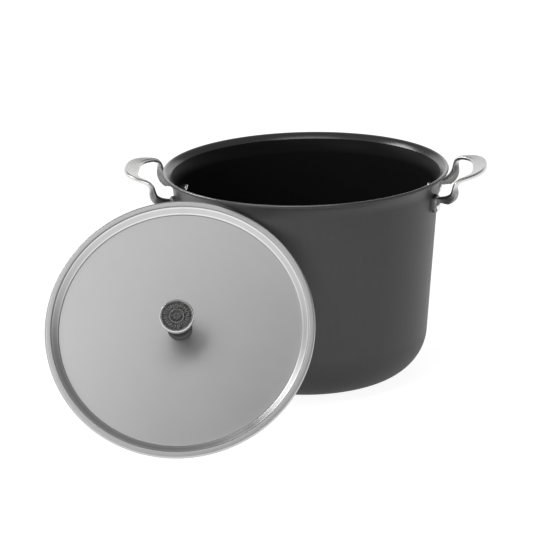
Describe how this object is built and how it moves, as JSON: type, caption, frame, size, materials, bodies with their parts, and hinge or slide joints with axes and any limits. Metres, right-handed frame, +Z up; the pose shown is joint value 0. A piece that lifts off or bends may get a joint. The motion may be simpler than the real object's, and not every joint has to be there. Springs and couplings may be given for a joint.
{
  "type": "brew kettle",
  "caption": "Flared anodised brew kettle with riveted cast loop handles; its pressed steel lid with a waisted knob leans against the side.",
  "frame": {"origin": "centre of the pot's flat foot, on the table", "axes": "+Z up along the pot's axis; +X towards the right-hand handle; -Y towards the lid, which leans left of the axis"},
  "size_m": [0.4465, 0.4329, 0.227],
  "materials": {
    "pot": "hard-anodised dark grey outside and lip, black nonstick inside",
    "handle": "cast stainless steel, satin",
    "rivet": "stainless steel, polished heads",
    "lid_sheet": "pressed stainless sheet, satin with a fine turned grain",
    "knob": "turned stainless steel, satin with a bright bevel",
    "medallion": "dark satin disc with a bright border",
    "fastener": "plain stainless steel"
  },
  "bodies": {
    "kettle": {"kettle_body": "pot", "left_handle": "handle", "right_handle": "handle", "left_front_rivet": "rivet", "left_back_rivet": "rivet", "right_front_rivet": "rivet", "right_back_rivet": "rivet"},
    "lid": {"lid_pan": "lid_sheet", "lid_knob": "knob", "knob_medallion": "medallion", "knob_washer": "fastener", "knob_screw": "fastener"}
  },
  "joints": [
    {"name": "lid_lift", "type": "slide", "parent": "kettle", "child": "lid", "axis": [0, -0.8059, 0.592], "range_m": [0, 0.26]}
  ]
}
